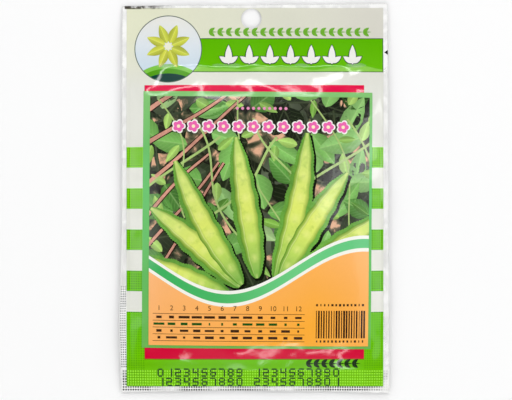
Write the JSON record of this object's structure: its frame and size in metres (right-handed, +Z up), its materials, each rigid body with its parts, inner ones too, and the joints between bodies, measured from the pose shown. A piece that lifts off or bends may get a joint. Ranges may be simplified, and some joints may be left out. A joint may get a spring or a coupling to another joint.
{
  "type": "seed packet",
  "caption": "Flat heat-sealed plastic seed packet with a hang hole, a glossy front label, a folded leaflet and loose bean seeds inside.",
  "frame": {"origin": "centre of the packet's bounding box, on the surface that it rests on", "axes": "+X across the packet to the right of its printed front, +Y towards the header with the hang hole, +Z up out of the front"},
  "size_m": [0.1308, 0.189, 0.0096],
  "materials": {
    "printed_film": "glossy film, printed white and green inside clear margins",
    "clear_film": "glossy clear film",
    "label_stock": "glossy laminated sticker in green and orange",
    "leaflet_paper": "thin uncoated paper",
    "seed_coat": "smooth dried seed coat, slightly shiny"
  },
  "bodies": {
    "root": {"front_film": "printed_film", "back_film": "clear_film", "label": "label_stock", "planting_leaflet": "leaflet_paper", "seed_01": "seed_coat", "seed_02": "seed_coat", "seed_03": "seed_coat", "seed_04": "seed_coat", "seed_05": "seed_coat", "seed_06": "seed_coat", "seed_07": "seed_coat", "seed_08": "seed_coat", "seed_09": "seed_coat", "seed_10": "seed_coat", "seed_11": "seed_coat", "seed_12": "seed_coat", "seed_13": "seed_coat", "seed_14": "seed_coat", "seed_15": "seed_coat", "seed_16": "seed_coat", "seed_17": "seed_coat", "seed_18": "seed_coat", "seed_19": "seed_coat", "seed_20": "seed_coat", "seed_21": "seed_coat", "seed_22": "seed_coat", "seed_23": "seed_coat", "seed_24": "seed_coat", "seed_25": "seed_coat", "seed_26": "seed_coat", "seed_27": "seed_coat", "seed_28": "seed_coat", "seed_29": "seed_coat", "seed_30": "seed_coat", "seed_31": "seed_coat", "seed_32": "seed_coat", "seed_33": "seed_coat"}
  },
  "joints": []
}
